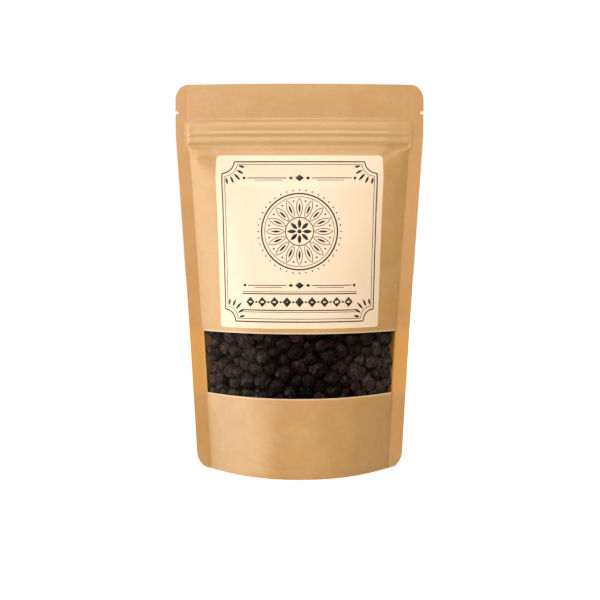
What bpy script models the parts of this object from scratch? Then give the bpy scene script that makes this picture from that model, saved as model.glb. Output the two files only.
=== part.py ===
"""A kraft-paper stand-up pouch of dried blackcurrants.

The front and back walls meet in flat side seals, and a folded gusset opens between
them so that the pouch stands. A clear film closes a wide window in the front wall,
through which the dried fruit shows, and a paper label is stuck above it. A
press-to-close zip, a rib in a groove, runs across inside the top.

+Z is up, the front faces -Y, and the origin is under the middle of the base.
Lengths below are in millimetres, and MM turns them into Blender's metres.
"""

import math
import random
from functools import lru_cache

import bmesh
import bpy
import numpy as np
from mathutils import Vector, noise

MM = 0.001

# The pouch laid flat, and how high it stands when it is full
FLAT_HALF_WIDTH = 65.0
SIDE_SEAL = 7.0
SEAL_LINE = FLAT_HALF_WIDTH - SIDE_SEAL
STANDING_HEIGHT = 202.5
TOP_CORNER = (6.6, 8.0)
BASE_CORNER = (6.6, 9.0)
WALL = 0.5
GAP = 0.3

# Filling the pouch draws its sides in, from the zip down to the base
BASE_HALF_WIDTH = 54.4
TAPER_TOP = 176.5
TAPER_POWER = 1.1
BASE_RIM = 2.0

# The bulge across the pouch is a power curve, rounder low down and flatter under the zip
ROUND_POWER = 2.15
FLAT_POWER = 3.0
ROUND_BELOW = 105.0
FLAT_ABOVE = 168.0
BULGE_ENDS_FROM = 146.0
BULGE_ENDS_AT = 172.0

# The top flap bows forward between its seals
BOW = 5.0
BOW_FROM = 120.0
BOW_FULL_AT = 200.0

# Round tear notches in both side seals
NOTCH_HEIGHT = 188.1
NOTCH_DEPTH = 1.7
NOTCH_HALF_OPENING = 0.9

# The zip in section. Depths run from the pouch's middle surface, back being positive.
ZIP_MIDDLE = 177.0
ZIP_HALF_LENGTH = 56.6
STRIP_HALF_HEIGHT = 5.0
STRIP_BACK = 1.6
STRIP_FACE = 1.1
JAW_TIP = 0.3
JAW_OUTER = 1.6
LIP_INNER = 0.6
LIP_BACK = -0.1
GROOVE_HALF_HEIGHT = 1.0
STEM_HALF_HEIGHT = 0.25
HEAD_HALF_HEIGHT = 0.65
HEAD_BACK = -0.4
HEAD_TIP = -0.75
HEAD_TIP_HALF_HEIGHT = 0.4

# The room that the walls leave for the zip
ZIP_ROOM = 1.75
ZIP_ROOM_TOP = 183.3
ZIP_ROOM_EASE = 1.4
ZIP_ROOM_BOTTOM = 171.0
ZIP_ROOM_FROM = 150.0

# The window and the label, in heights and in flat widths from the middle
WINDOW_BOTTOM = 40.8
WINDOW_TOP = 73.6
WINDOW_HALF_WIDTH = 56.8
FILM_LAP = 4.5
FILM_HALF_WIDTH = 57.2
FILM_WALL = 0.3
LABEL_BOTTOM = 76.3
LABEL_TOP = 165.3
LABEL_HALF_WIDTH = 43.6
LABEL_CORNER = 1.6
LABEL_WALL = 0.3

# The gusset: the height of its front and back seams, and of its fold
SEAM_HEIGHT = 5.0
SEAM_RISE = 28.0
SEAM_POWER = 3.4
FOLD_HEIGHT = 1.6
GUSSET_FOOT = 0.2
GUSSET_HALF_WIDTH = 55.4
GUSSET_SPANS = 8

# Where the walls are creased into flat strips: across from the middle out, and up from
# the base. What lies against a wall is creased at the same places, and so stays clear.
ACROSS = (0.0, 14.0, 27.0, 38.0, 46.5, 53.0)
FOOT_ROWS = (0.0, BASE_RIM, 5.0, BASE_CORNER[1], 17.0, 28.0)
WINDOW_ROWS = (49.0, 57.0, 65.0)
LABEL_ROWS = (84.0, 95.0, 106.0, 117.0, 128.0, 138.0, 147.0, 155.0)
SHOULDER_ROWS = (162.0, 168.0, ZIP_ROOM_BOTTOM, 173.5)
TOP_ROWS = (4.6, 2.0, 0.6, 0.0)
CORNER_SHARES = (0.0, 0.12, 0.5, 1.0)
NOTCH_TURNS = (-90, -45, 0, 45, 90)

# The fruit: berries that stand out of a core, close together behind the window and far
# apart where the paper hides them
BERRY_RADIUS = 3.75
BERRY_SPREAD = 0.35
BERRY_CLEARANCE = 0.45
BERRY_DENT = 0.16
BERRY_ROOM = 4.5
WINDOW_PITCH = (8.3, 7.3)
WINDOW_JITTER = 0.5
WINDOW_REACH = 53.5
WINDOW_MARGIN = 3.0
HIDDEN_PITCH = (27.0, 23.0)
HIDDEN_JITTER = 2.0
HIDDEN_REACH = 46.0
HIDDEN_MARGIN = 8.0
CORE_INSET = 4.9
CORE_SIDE_INSET = 7.0
CORE_LEAST_REACH = 6.0
CORE_ROUNDING = 60.0
FILL_BOTTOM = 8.0
FILL_TOP = 128.0
FILL_OVER_FOLD = 4.0
SEED = 7


def smooth_step(low, high, value):
    """0 below low, 1 above high, and a smooth rise between them."""
    share = min(1.0, max(0.0, (value - low) / (high - low)))
    return share * share * (3 - 2 * share)


def side_edge(z):
    """Half the width between the side seals' outer edges, before corners and notches."""
    share = min(1.0, max(z, BASE_RIM) / TAPER_TOP)
    return BASE_HALF_WIDTH + (FLAT_HALF_WIDTH - BASE_HALF_WIDTH) * share**TAPER_POWER


def corner_cut(distance, corner):
    """How far a rounded corner takes the edge in, at that distance from the end."""
    across, along = corner
    if distance >= along:
        return 0.0
    rise = 1 - max(distance, 0.0) / along
    return across * (1 - math.sqrt(max(0.0, 1 - rise * rise)))


def outer_edge(z):
    """Half the width with the corners rounded and the tear notches cut."""
    edge = side_edge(z)
    edge -= corner_cut(STANDING_HEIGHT - z, TOP_CORNER)
    edge -= corner_cut(z, BASE_CORNER)
    from_notch = min(1.0, abs(z - NOTCH_HEIGHT) / NOTCH_HALF_OPENING)
    return edge - NOTCH_DEPTH * math.sqrt(1 - from_notch**2)


def section_power(z):
    """The shape of the bulge across the pouch: rounder low down, flatter under the zip."""
    return ROUND_POWER + (FLAT_POWER - ROUND_POWER) * smooth_step(ROUND_BELOW, FLAT_ABOVE, z)


@lru_cache(maxsize=None)
def section(z):
    """(half chord, depth, power, chord stations, share of the arc) of one wall at z.

    The wall keeps its flat width between the seals, so the depth is the one that
    makes the arc over the chord as long as that.
    """
    power = section_power(z)
    half_chord = side_edge(z) - SIDE_SEAL
    stations = np.linspace(0.0, 1.0, 241)

    def arc(depth):
        steps_y = np.diff(depth * (1 - stations**power))
        steps_x = np.diff(half_chord * stations)
        return np.concatenate([[0.0], np.cumsum(np.hypot(steps_x, steps_y))])

    low, high = 0.0, SEAL_LINE
    for _ in range(50):
        middle = (low + high) / 2
        if arc(middle)[-1] < SEAL_LINE:
            low = middle
        else:
            high = middle
    depth = low * (1 - smooth_step(BULGE_ENDS_FROM, BULGE_ENDS_AT, z))
    lengths = arc(depth)
    return half_chord, depth, power, stations, lengths / lengths[-1]


def zip_room(u, z):
    """How far the zip holds the wall out, as far across as the window reaches."""
    above = 1 - smooth_step(ZIP_ROOM_TOP - ZIP_ROOM_EASE, ZIP_ROOM_TOP, z)
    below = smooth_step(ZIP_ROOM_FROM, BULGE_ENDS_AT, z)
    ends = 1 - smooth_step(WINDOW_HALF_WIDTH, SEAL_LINE, abs(u))
    return ZIP_ROOM * above * below * ends


def bow(x, z):
    """How far the pouch's middle surface bows forward. The seals stay back."""
    return BOW * (1 - (x / FLAT_HALF_WIDTH) ** 2) * smooth_step(BOW_FROM, BOW_FULL_AT, z)


def wall_point(u, z, side):
    """A point on a wall's inner face, in millimetres. side is -1 in front, 1 behind.

    u is the distance from the middle, measured along the wall as it was when flat.
    """
    half_chord, depth, power, stations, lengths = section(round(z, 4))
    if abs(u) <= SEAL_LINE:
        station = float(np.interp(abs(u) / SEAL_LINE, lengths, stations))
        x = math.copysign(half_chord * station, u)
        bulge = depth * (1 - station**power)
    else:
        share = (abs(u) - SEAL_LINE) / SIDE_SEAL
        x = math.copysign(half_chord + share * (outer_edge(z) - half_chord), u)
        bulge = 0.0
    return Vector((x, side * (GAP / 2 + bulge + zip_room(u, z)) - bow(x, z), z))


def wall_normal(u, z, side):
    """The unit normal of a wall, out of the pouch."""
    step = 0.4
    low = max(BASE_RIM, z - step)
    along_u = wall_point(u + step, z, side) - wall_point(u - step, z, side)
    along_z = wall_point(u, low + 2 * step, side) - wall_point(u, low, side)
    normal = along_u.cross(along_z).normalized()
    return normal * math.copysign(1.0, normal.y * side)


def on_wall(u, z, side, outward):
    """A point at that distance out of a wall's inner face."""
    return wall_point(u, z, side) + wall_normal(u, z, side) * outward


def seam_height(u):
    """The height at which the gusset leaves the front and back walls."""
    return SEAM_HEIGHT + SEAM_RISE * abs(u / GUSSET_HALF_WIDTH) ** SEAM_POWER


def fold_height(u):
    """The height of the gusset's fold, which meets its seams at the sides."""
    share = abs(u / GUSSET_HALF_WIDTH) ** (SEAM_POWER - 1)
    return FOLD_HEIGHT + (SEAM_HEIGHT + SEAM_RISE - FOLD_HEIGHT) * share


def mirrored(values):
    """The positive values on both sides of 0."""
    return sorted([-v for v in values if v > 0] + list(values))


def material(name, colour, roughness, alpha=1.0):
    made = bpy.data.materials.new(name)
    made.use_nodes = True
    shader = made.node_tree.nodes["Principled BSDF"]
    shader.inputs["Base Color"].default_value = (*colour, 1.0)
    shader.inputs["Roughness"].default_value = roughness
    shader.inputs["Metallic"].default_value = 0.0
    shader.inputs["Alpha"].default_value = alpha
    return made


def add_object(name, mesh, look, collection, parent):
    mesh.materials.append(look)
    made = bpy.data.objects.new(name, mesh)
    collection.objects.link(made)
    made.parent = parent
    return made


def grid_mesh(name, columns, rows, place, hole=None):
    """A grid laid over columns and rows, with each vertex where place(column, row) says.

    hole(column, row) is true at the middle of each face that is left out.
    """
    mesh = bpy.data.meshes.new(name)
    shape = bmesh.new()
    bmesh.ops.create_grid(
        shape, x_segments=len(columns) - 1, y_segments=len(rows) - 1, size=1.0
    )
    middles = {}
    for face in shape.faces:
        middle = face.calc_center_median()
        middles[face] = (
            np.interp((middle.x + 1) / 2 * (len(columns) - 1), range(len(columns)), columns),
            np.interp((middle.y + 1) / 2 * (len(rows) - 1), range(len(rows)), rows),
        )
    left_out = [face for face in shape.faces if hole and hole(*middles[face])]
    for vertex in shape.verts:
        column = round((vertex.co.x + 1) / 2 * (len(columns) - 1))
        row = round((vertex.co.y + 1) / 2 * (len(rows) - 1))
        vertex.co = place(columns[column], rows[row]) * MM
    bmesh.ops.delete(shape, geom=left_out, context="FACES")
    shape.to_mesh(mesh)
    shape.free()
    return mesh


def thicken(obj, thickness, outwards_is_minus_y):
    """Solidify an open sheet outwards, away from the inside of the pouch."""
    facing = obj.data.polygons[0].normal.y < 0
    wall = obj.modifiers.new("Wall", "SOLIDIFY")
    wall.thickness = thickness * MM
    wall.offset = 1.0 if facing == outwards_is_minus_y else -1.0
    wall.use_even_offset = True
    return wall


def wall_columns():
    return mirrored([*ACROSS, WINDOW_HALF_WIDTH, SEAL_LINE, FLAT_HALF_WIDTH])


def wall_rows():
    low = [*FOOT_ROWS, WINDOW_BOTTOM, *WINDOW_ROWS, WINDOW_TOP, *LABEL_ROWS, *SHOULDER_ROWS]
    closure = [ZIP_ROOM_TOP - ZIP_ROOM_EASE, ZIP_ROOM_TOP]
    turns = [math.sin(math.radians(turn)) for turn in NOTCH_TURNS]
    notch = [NOTCH_HEIGHT + NOTCH_HALF_OPENING * turn for turn in turns]
    top = [STANDING_HEIGHT - drop for drop in (TOP_CORNER[1], *TOP_ROWS)]
    return low + closure + notch + top


def in_window(u, z):
    return abs(u) < WINDOW_HALF_WIDTH and WINDOW_BOTTOM < z < WINDOW_TOP


def build_walls(kraft, collection, parent):
    """The front wall with its window, and the plain back wall."""
    for name, side, hole in (("front_panel", -1, in_window), ("back_panel", 1, None)):
        mesh = grid_mesh(
            name,
            wall_columns(),
            wall_rows(),
            lambda u, z, side=side: wall_point(u, z, side),
            hole,
        )
        wall = add_object(name, mesh, kraft, collection, parent)
        thicken(wall, WALL, outwards_is_minus_y=side < 0)


def build_gusset(kraft, collection, parent):
    """The gusset: up the front wall's inner face to its seam, over to the back, and down."""
    columns = mirrored([*ACROSS, GUSSET_HALF_WIDTH])
    skirt = [0.0, 0.4, 1.0]
    across = [span / GUSSET_SPANS for span in range(1, GUSSET_SPANS)]
    inside = GAP + WALL
    path = skirt + [1.0 + share for share in across] + [2.0 + share for share in skirt]

    def place(u, along):
        side = -1 if along < 1.5 else 1
        seam = seam_height(u)
        if along <= 1.0 or along >= 2.0:
            climb = along if side < 0 else 3.0 - along
            rim_height = max(seam * climb, BASE_RIM * min(1.0, climb / skirt[1]))
            z = rim_height if climb < 1.0 else seam
            return on_wall(u, z, side, -inside) if climb else foot_point(u, side)
        edge = on_wall(u, seam, 1, -inside)
        y = edge.y * (2 * along - 3.0)
        sag = 1 - (y / edge.y) ** 2
        return Vector((edge.x, y, seam + (fold_height(u) - seam) * sag))

    def foot_point(u, side):
        """The gusset's edge, straight below its rim, just clear of what the walls stand on."""
        above = on_wall(u, BASE_RIM, side, -inside)
        return Vector((above.x, above.y, GUSSET_FOOT))

    gusset = add_object(
        "bottom_gusset", grid_mesh("bottom_gusset", columns, path, place), kraft, collection, parent
    )
    thicken(gusset, WALL, outwards_is_minus_y=True)


def build_film(clear, collection, parent):
    """The clear film, which laps the window's upper and lower edges inside."""
    columns = mirrored([*ACROSS, FILM_HALF_WIDTH])
    rows = [WINDOW_BOTTOM - FILM_LAP, *WINDOW_ROWS, WINDOW_TOP + FILM_LAP]
    depth = GAP + FILM_WALL
    mesh = grid_mesh("window_film", columns, rows, lambda u, z: on_wall(u, z, -1, -depth))
    thicken(add_object("window_film", mesh, clear, collection, parent), FILM_WALL, True)


def build_label(paper, collection, parent):
    """The paper label on the front wall, with small round corners."""
    low = [LABEL_BOTTOM + LABEL_CORNER * share for share in CORNER_SHARES]
    high = [LABEL_TOP - LABEL_CORNER * share for share in reversed(CORNER_SHARES)]
    rows = [*low, *LABEL_ROWS, *high]
    columns = mirrored([*ACROSS[:4], LABEL_HALF_WIDTH])
    corner = (LABEL_CORNER, LABEL_CORNER)

    def place(u, z):
        cut = corner_cut(min(z - LABEL_BOTTOM, LABEL_TOP - z), corner)
        half = LABEL_HALF_WIDTH - (cut if abs(u) == LABEL_HALF_WIDTH else 0.0)
        return on_wall(math.copysign(min(abs(u), half), u), z, -1, WALL + GAP)

    mesh = grid_mesh("label", columns, rows, place)
    thicken(add_object("label", mesh, paper, collection, parent), LABEL_WALL, True)


def groove_outline():
    """The zip's groove in section, as (y, height from the zip's middle)."""
    hollow = [(-STRIP_FACE, GROOVE_HALF_HEIGHT), (LIP_BACK, GROOVE_HALF_HEIGHT)]
    lip = [(LIP_BACK, LIP_INNER), (JAW_TIP, LIP_INNER)]
    jaw = [(JAW_TIP, JAW_OUTER), (-STRIP_FACE, JAW_OUTER)]
    strip = [(-STRIP_FACE, STRIP_HALF_HEIGHT), (-STRIP_BACK, STRIP_HALF_HEIGHT)]
    upper = hollow + lip + jaw + strip
    return upper + [(y, -height) for y, height in reversed(upper)]


def rib_outline():
    """The zip's rib in section, with the head that snaps into the groove."""
    head = [(HEAD_TIP, HEAD_TIP_HALF_HEIGHT), (HEAD_BACK, HEAD_HALF_HEIGHT)]
    stem = [(HEAD_BACK, STEM_HALF_HEIGHT), (STRIP_FACE, STEM_HALF_HEIGHT)]
    strip = [(STRIP_FACE, STRIP_HALF_HEIGHT), (STRIP_BACK, STRIP_HALF_HEIGHT)]
    upper = head + stem + strip
    return upper + [(y, -height) for y, height in reversed(upper)]


def build_track(name, outline, plastic, collection, parent):
    """One half of the zip: its section, drawn out across the pouch and bowed with it."""
    mesh = bpy.data.meshes.new(name)
    shape = bmesh.new()
    stations = np.linspace(-ZIP_HALF_LENGTH, ZIP_HALF_LENGTH, 11)
    corners = [
        shape.verts.new((stations[0], y, ZIP_MIDDLE + height)) for y, height in outline
    ]
    ring = shape.faces.new(corners)
    start = ring
    for station in stations[1:]:
        drawn = bmesh.ops.extrude_face_region(shape, geom=[ring])
        moved = [v for v in drawn["geom"] if isinstance(v, bmesh.types.BMVert)]
        for vertex in moved:
            vertex.co.x = station
        faces = [f for f in drawn["geom"] if isinstance(f, bmesh.types.BMFace)]
        if ring is not start:
            bmesh.ops.delete(shape, geom=[ring], context="FACES_ONLY")
        ring = faces[0]
    for vertex in shape.verts:
        vertex.co.y -= bow(vertex.co.x, vertex.co.z)
        vertex.co *= MM
    bmesh.ops.recalc_face_normals(shape, faces=shape.faces)
    shape.to_mesh(mesh)
    shape.free()
    add_object(name, mesh, plastic, collection, parent)


def fill_half_width(z):
    """How far out the fruit reaches at z, along the flat wall, above the rising gusset."""
    room = (z - FOLD_HEIGHT - FILL_OVER_FOLD) / (SEAM_HEIGHT + SEAM_RISE - FOLD_HEIGHT)
    if room >= 1:
        return SEAL_LINE
    return SEAL_LINE * max(room, 0.02) ** (1 / (SEAM_POWER - 1))


def berry_grid(pitch, half_width, bottom, top):
    """Staggered rows of (u, z), pitch apart."""
    across, up = pitch
    for row in range(int((top - bottom) / up) + 1):
        z = bottom + row * up
        count = int((half_width - across * 0.5 * (row % 2)) / across)
        for step in range(-count - row % 2, count + 1):
            yield (step + 0.5 * (row % 2)) * across, z


def berry_places():
    """(centre, radius, plain) of every berry, in millimetres, the same on each run."""
    draw = random.Random(SEED)
    low, high = WINDOW_BOTTOM - WINDOW_MARGIN, WINDOW_TOP + WINDOW_MARGIN
    window_grid = berry_grid(WINDOW_PITCH, WINDOW_REACH, low, high)
    spots = [(-1, u, z, WINDOW_JITTER, False) for u, z in window_grid]
    for side in (-1, 1):
        for u, z in berry_grid(HIDDEN_PITCH, HIDDEN_REACH, FILL_BOTTOM + FILL_OVER_FOLD, FILL_TOP):
            beside_window = WINDOW_BOTTOM - HIDDEN_MARGIN < z < WINDOW_TOP + HIDDEN_MARGIN
            if side > 0 or not beside_window:
                spots.append((side, u, z, HIDDEN_JITTER, True))
    for side, u, z, jitter, plain in spots:
        u += draw.uniform(-jitter, jitter) * 1.3
        z += draw.uniform(-jitter, jitter)
        radius = BERRY_RADIUS + draw.uniform(-BERRY_SPREAD, BERRY_SPREAD)
        if abs(u) > fill_half_width(z) - BERRY_ROOM:
            continue
        centre = on_wall(u, z, side, -(GAP + FILM_WALL + BERRY_CLEARANCE + radius))
        centre.y = side * max(side * centre.y, 0.0)
        yield centre, radius, plain


def berry_mesh(name, centre, radius, plain, seed):
    """A shrivelled berry: a ball with few faces, dented by noise, and fewer where it is hidden."""
    mesh = bpy.data.meshes.new(name)
    shape = bmesh.new()
    if plain:
        bmesh.ops.create_uvsphere(shape, u_segments=7, v_segments=5, radius=1.0)
    else:
        bmesh.ops.create_icosphere(shape, subdivisions=2, radius=1.0)
    shift = Vector((seed * 1.7, seed * 0.9, seed * 2.3))
    for vertex in shape.verts:
        dent = BERRY_DENT * abs(noise.noise(vertex.co * 1.6 + shift))
        vertex.co = (centre + vertex.co * radius * (1 - dent)) * MM
    shape.to_mesh(mesh)
    shape.free()
    return mesh


def core_mesh():
    """The core that the berries stand out of: the inside of the pouch, drawn in."""
    rows = np.linspace(FILL_BOTTOM, FILL_TOP, 11)
    around = 20
    mesh = bpy.data.meshes.new("core")
    shape = bmesh.new()
    bmesh.ops.create_cone(
        shape, cap_ends=True, segments=around, radius1=1.0, radius2=1.0, depth=2.0
    )
    walls = [edge for edge in shape.edges if abs(edge.verts[0].co.z - edge.verts[1].co.z) > 1]
    bmesh.ops.subdivide_edges(shape, edges=walls, cuts=len(rows) - 2, use_grid_fill=False)
    for vertex in shape.verts:
        z = float(np.interp(vertex.co.z, np.linspace(-1, 1, len(rows)), rows))
        side = -1 if vertex.co.y < 0 else 1
        half_chord, depth, power, _, _ = section(round(z, 4))
        reach = half_chord * (1 - CORE_INSET / depth) ** (1 / power)
        reach = min(reach, max(CORE_LEAST_REACH, fill_half_width(z) - CORE_SIDE_INSET))
        x = vertex.co.x * reach
        room = depth * (1 - abs(x / half_chord) ** power) - CORE_INSET
        ends = math.sqrt(max(0.0, 1 - vertex.co.x**2))
        at_end = abs(vertex.co.y) < 1e-6
        y = 0.0 if at_end else side * max(0.0, min(room, CORE_ROUNDING * ends))
        vertex.co = Vector((x, y, z)) * MM
    shape.to_mesh(mesh)
    shape.free()
    return mesh


def build_fruit(fruit, collection, parent):
    """The berries and their core, joined into one body."""
    pile = bpy.data.collections.new("berries")
    bpy.context.scene.collection.children.link(pile)
    for number, (centre, radius, plain) in enumerate(berry_places()):
        mesh = berry_mesh(f"berry_{number}", centre, radius, plain, number)
        pile.objects.link(bpy.data.objects.new(f"berry_{number}", mesh))
    body = add_object("dried_blackcurrants", core_mesh(), fruit, collection, parent)
    union = body.modifiers.new("Berries", "BOOLEAN")
    union.operation = "UNION"
    union.operand_type = "COLLECTION"
    union.collection = pile
    union.solver = "MANIFOLD"
    bpy.context.view_layer.update()
    joined = bpy.data.meshes.new_from_object(
        body.evaluated_get(bpy.context.evaluated_depsgraph_get())
    )
    body.modifiers.clear()
    body.data = joined
    for berry in list(pile.objects):
        bpy.data.objects.remove(berry)
    bpy.data.collections.remove(pile)
    joined.shade_smooth()


def main():
    for old in list(bpy.data.objects):
        bpy.data.objects.remove(old)
    collection = bpy.data.collections.new("dried_blackcurrant_pouch")
    bpy.context.scene.collection.children.link(collection)
    pouch = bpy.data.objects.new("pouch", None)
    collection.objects.link(pouch)

    kraft = material("kraft_paper", (0.68, 0.40, 0.17), 0.75)
    clear = material("clear_film", (0.9, 0.9, 0.9), 0.12, alpha=0.2)
    paper = material("label_paper", (0.88, 0.73, 0.53), 0.6)
    plastic = material("zip_plastic", (0.8, 0.8, 0.78), 0.4, alpha=0.7)
    fruit = material("dried_fruit", (0.03, 0.016, 0.018), 0.45)

    build_walls(kraft, collection, pouch)
    build_gusset(kraft, collection, pouch)
    build_film(clear, collection, pouch)
    build_label(paper, collection, pouch)
    build_track("zip_groove", groove_outline(), plastic, collection, pouch)
    build_track("zip_rib", rib_outline(), plastic, collection, pouch)
    build_fruit(fruit, collection, pouch)


main()
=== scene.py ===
"""The looks of a kraft-paper stand-up pouch of dried blackcurrants.

The walls, the gusset, the film, the label, the zip and the fruit replace their plain
solids with finer meshes on the same surfaces.

+Z is up, the front faces -Y, and the origin is under the middle of the base.
Lengths are in millimetres, and MM turns them into Blender's metres.
"""

import math
import random
from functools import lru_cache

import bmesh
import bpy
import numpy as np
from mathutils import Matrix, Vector, noise


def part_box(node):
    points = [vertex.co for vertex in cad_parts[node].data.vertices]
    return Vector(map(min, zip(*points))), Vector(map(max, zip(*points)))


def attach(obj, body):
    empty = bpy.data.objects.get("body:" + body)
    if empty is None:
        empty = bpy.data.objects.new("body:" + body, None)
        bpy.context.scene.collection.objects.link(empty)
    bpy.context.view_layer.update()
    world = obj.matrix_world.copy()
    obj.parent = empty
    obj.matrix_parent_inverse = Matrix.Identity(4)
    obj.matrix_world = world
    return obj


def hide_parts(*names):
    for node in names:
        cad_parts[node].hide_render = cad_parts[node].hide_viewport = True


MM = 0.001

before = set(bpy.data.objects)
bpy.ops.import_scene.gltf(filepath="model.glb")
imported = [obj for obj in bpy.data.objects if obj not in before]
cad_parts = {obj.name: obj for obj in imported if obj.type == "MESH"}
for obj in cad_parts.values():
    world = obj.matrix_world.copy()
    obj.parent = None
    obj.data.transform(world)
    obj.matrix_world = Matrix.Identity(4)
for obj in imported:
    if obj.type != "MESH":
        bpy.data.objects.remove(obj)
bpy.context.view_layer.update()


def node_box(node):
    """A node's lowest and highest corners, in millimetres."""
    low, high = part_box(node)
    return low / MM, high / MM


# Sizes that the frame gives
PANEL_LOW, PANEL_HIGH = node_box("back_panel")
LABEL_LOW, LABEL_HIGH = node_box("label")
ZIP_LOW, ZIP_HIGH = node_box("zip_rib")
FILM_LOW, FILM_HIGH = node_box("window_film")
STANDING_HEIGHT = PANEL_HIGH.z
FLAT_HALF_WIDTH = round(PANEL_HIGH.x, 1)
ZIP_MIDDLE = (ZIP_LOW.z + ZIP_HIGH.z) / 2

# The walls' surface: the same formula and values as the solids
SIDE_SEAL = 7.0
SEAL_LINE = FLAT_HALF_WIDTH - SIDE_SEAL
TOP_CORNER = (6.6, 8.0)
BASE_CORNER = (6.6, 9.0)
GAP = 0.3
BASE_HALF_WIDTH = 54.4
TAPER_TOP = 176.5
TAPER_POWER = 1.1
BASE_RIM = 2.0
BOW = 5.0
BOW_FROM = 120.0
NOTCH_HEIGHT = 188.1
NOTCH_DEPTH = 1.7
NOTCH_HALF_OPENING = 0.85
ZIP_ROOM = 1.75
ZIP_ROOM_TOP = 183.3
ZIP_ROOM_BOTTOM = 171.0
ZIP_HALF_LENGTH = 56.6
ZIP_CRUSH = 0.74
CORNER_SLOPE = 0.62
SHARPEST_CORNER = 14.0
WINDOW_BOTTOM = 40.8
WINDOW_TOP = 73.6
WINDOW_HALF_WIDTH = 56.8
LABEL_BOTTOM = 76.3
LABEL_TOP = 165.3
LABEL_HALF_WIDTH = 43.6
LABEL_CORNER = 1.6
SHOULDER_TOP = 170.0
SHOULDER_OUT = 57.5
SHOULDER_SLOPE = 0.56
SEAM_HEIGHT = 5.0
SEAM_RISE = 28.0
SEAM_POWER = 3.4
FOLD_HEIGHT = 1.6
GUSSET_HALF_WIDTH = 55.4

# How thick the sheets look
PAPER = 0.3
FILM = 0.08
STICKER = 0.14
LABEL_OUT = PAPER + 0.02
INK = 0.03
SEALED_GAP = 0.06

SEED = 11


def smooth(low, high, value):
    """0 below low, 1 above high, and a smooth rise between them."""
    share = np.clip((value - low) / (high - low), 0.0, 1.0)
    return share * share * (3 - 2 * share)


def hump(value, middle, half):
    """1 at the middle and 0 from half on either side, rounded."""
    share = np.clip(np.abs(value - middle) / half, 0.0, 1.0)
    return (1 - share * share) ** 2


def wavy(points, size, seed):
    """Smooth noise from -1 to 1, sampled at each row of points, with waves of that size."""
    shift = Vector((seed * 3.1, seed * 1.7, seed * 5.3))
    return np.array([noise.noise(Vector(point) / size + shift) for point in points])


# The walls as surfaces over (u, z), where u runs across the wall as it was when flat


def side_edge(z):
    share = min(1.0, max(z, BASE_RIM) / TAPER_TOP)
    return BASE_HALF_WIDTH + (FLAT_HALF_WIDTH - BASE_HALF_WIDTH) * share**TAPER_POWER


def corner_cut(distance, corner):
    across, along = corner
    if distance >= along:
        return 0.0
    rise = 1 - max(distance, 0.0) / along
    return across * (1 - math.sqrt(max(0.0, 1 - rise * rise)))


def outer_edge(z):
    edge = side_edge(z)
    edge -= corner_cut(STANDING_HEIGHT - z, TOP_CORNER)
    edge -= corner_cut(z, BASE_CORNER)
    from_notch = min(1.0, abs(z - NOTCH_HEIGHT) / NOTCH_HALF_OPENING)
    return edge - NOTCH_DEPTH * math.sqrt(1 - from_notch**2)


@lru_cache(maxsize=None)
def section(z):
    """(half chord, depth, power, chord stations, share of the arc) of one wall at z."""
    power = 2.15 + 0.85 * float(smooth(105.0, 168.0, z))
    half_chord = side_edge(z) - SIDE_SEAL
    stations = np.linspace(0.0, 1.0, 241)

    def arc(depth):
        steps_y = np.diff(depth * (1 - stations**power))
        steps_x = np.diff(half_chord * stations)
        return np.concatenate([[0.0], np.cumsum(np.hypot(steps_x, steps_y))])

    low, high = 0.0, SEAL_LINE
    for _ in range(40):
        middle = (low + high) / 2
        if arc(middle)[-1] < SEAL_LINE:
            low = middle
        else:
            high = middle
    depth = low * (1 - float(smooth(148.5, ZIP_ROOM_BOTTOM + 1.2, z)))
    power = max(power, min(SHARPEST_CORNER, CORNER_SLOPE * half_chord / max(depth, 0.1)))
    lengths = arc(depth)
    return half_chord, depth, power, stations, lengths / lengths[-1]


def bow(x, z):
    return BOW * (1 - (x / FLAT_HALF_WIDTH) ** 2) * smooth(BOW_FROM, 200.0, z)


def zip_room(u, z):
    above = 1 - smooth(ZIP_ROOM_TOP - 1.4, ZIP_ROOM_TOP + 1.2, z)
    below = smooth(150.0, ZIP_ROOM_BOTTOM + 1.0, z)
    side_u = np.abs(u) + 5.0 * (1 - smooth(164.0, 171.0, z))
    ends = 1 - ZIP_CRUSH * smooth(45.0, 57.5, side_u)
    ends *= 1 - smooth(57.5, 61.0, side_u)
    return ZIP_ROOM * above * below * ends


def near_segment(u, z, start, end, width):
    """1 on the line from start to end, and 0 from width on beside it, for creases."""
    along = np.array(end) - np.array(start)
    length = float(np.hypot(*along))
    share = ((u - start[0]) * along[0] + (z - start[1]) * along[1]) / length**2
    share = np.clip(share, 0.0, 1.0)
    away = np.hypot(u - start[0] - share * along[0], z - start[1] - share * along[1])
    return np.exp(-((away / width) ** 2)) * (1 - share) ** 0.7


def shoulders(u, z, side):
    """The facets between the flat zip and the filled body, at the upper corners.

    A ridge runs down and inwards from each end of the zip. Below it the body keeps its
    full depth, and a short hollow parts it from the zip.
    """
    side_u = np.abs(u)
    ridge_height = SHOULDER_TOP - (SHOULDER_OUT - side_u) * SHOULDER_SLOPE
    below = (ridge_height - z) / math.hypot(1.0, SHOULDER_SLOPE)
    full = smooth(-2.2, 3.4, below) * smooth(132.0, 158.0, z)
    full *= smooth(30.0, 50.0, side_u) * (1 - smooth(51.5, SEAL_LINE, side_u))
    ridge = near_segment(side_u, z, (57.0, SHOULDER_TOP - 0.6), (42.0, 161.2), 1.5)
    hollow = near_segment(side_u, z, (57.8, 170.7), (40.0, 170.0), 1.15)
    lean = 1.0 - 0.15 * np.sign(u) * side
    return (0.35 * full + 0.45 * ridge - 0.85 * hollow) * lean


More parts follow.
